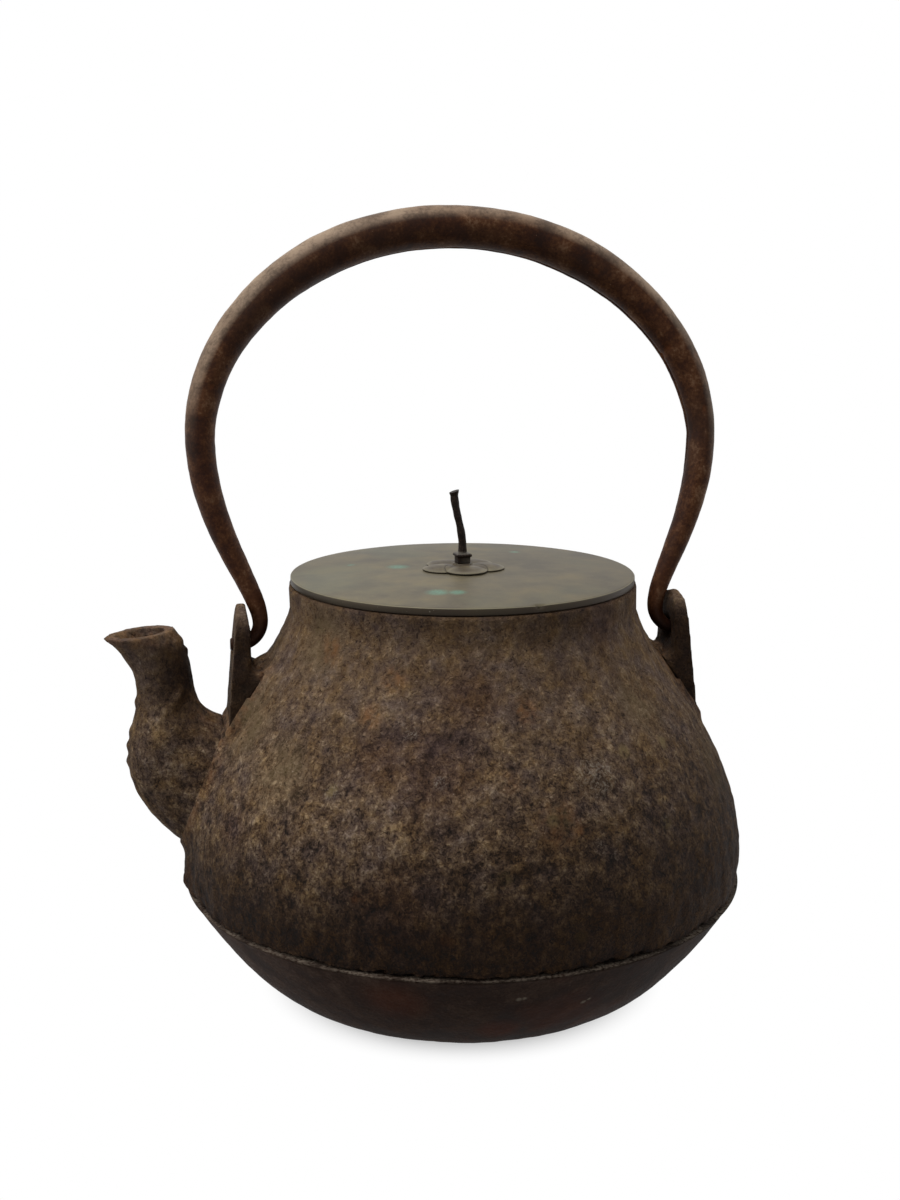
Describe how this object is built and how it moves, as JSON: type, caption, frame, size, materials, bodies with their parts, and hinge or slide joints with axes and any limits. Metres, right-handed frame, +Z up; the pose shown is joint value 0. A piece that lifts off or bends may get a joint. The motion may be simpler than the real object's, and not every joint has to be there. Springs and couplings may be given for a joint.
{
  "type": "cast iron kettle",
  "caption": "Squat rough-cast iron kettle with an S-shaped spout, two pierced lugs, a free-swinging iron bail and a loose flat bronze lid with a flower knob.",
  "frame": {"origin": "on the floor under the middle of the body's flat foot", "axes": "+Z up, +X from the spout towards the far lug (the spout points to -X), +Y to the back, where the bail leans at rest"},
  "size_m": [0.1792, 0.1594, 0.2194],
  "materials": {
    "rough_cast_iron": "rough sand-cast skin, oxidised dark brown with ochre rust",
    "bowl_iron": "smoother cast skin, dark brown, sooty",
    "forged_iron": "forged and rolled iron, reddish dark brown patina, satin",
    "bronze_lid": "old bronze, olive grey, satin, with small verdigris spots",
    "dark_bronze": "darkened bronze, nearly black"
  },
  "bodies": {
    "kettle": {"body_shell": "rough_cast_iron", "body_bottom": "bowl_iron", "spout": "rough_cast_iron", "lug_spout_side": "rough_cast_iron", "lug_far_side": "rough_cast_iron"},
    "bail": {"bail_arch": "forged_iron", "bail_hook_spout_side": "forged_iron", "bail_hook_far_side": "forged_iron"},
    "lid": {"lid_plate": "bronze_lid", "lid_fit_ring": "dark_bronze", "knob_seat": "bronze_lid", "knob_collar": "dark_bronze", "knob_stalk": "dark_bronze", "knob_washer": "dark_bronze"}
  },
  "joints": [
    {"name": "bail_swing", "type": "hinge", "parent": "kettle", "child": "bail", "pos_m": [0, 0, 0.1006], "axis": [1, 0, 0], "range_deg": [-96, 116]},
    {"name": "lid_lift", "type": "slide", "parent": "kettle", "child": "lid", "axis": [0, 0, 1], "range_m": [0, 0.06]}
  ]
}
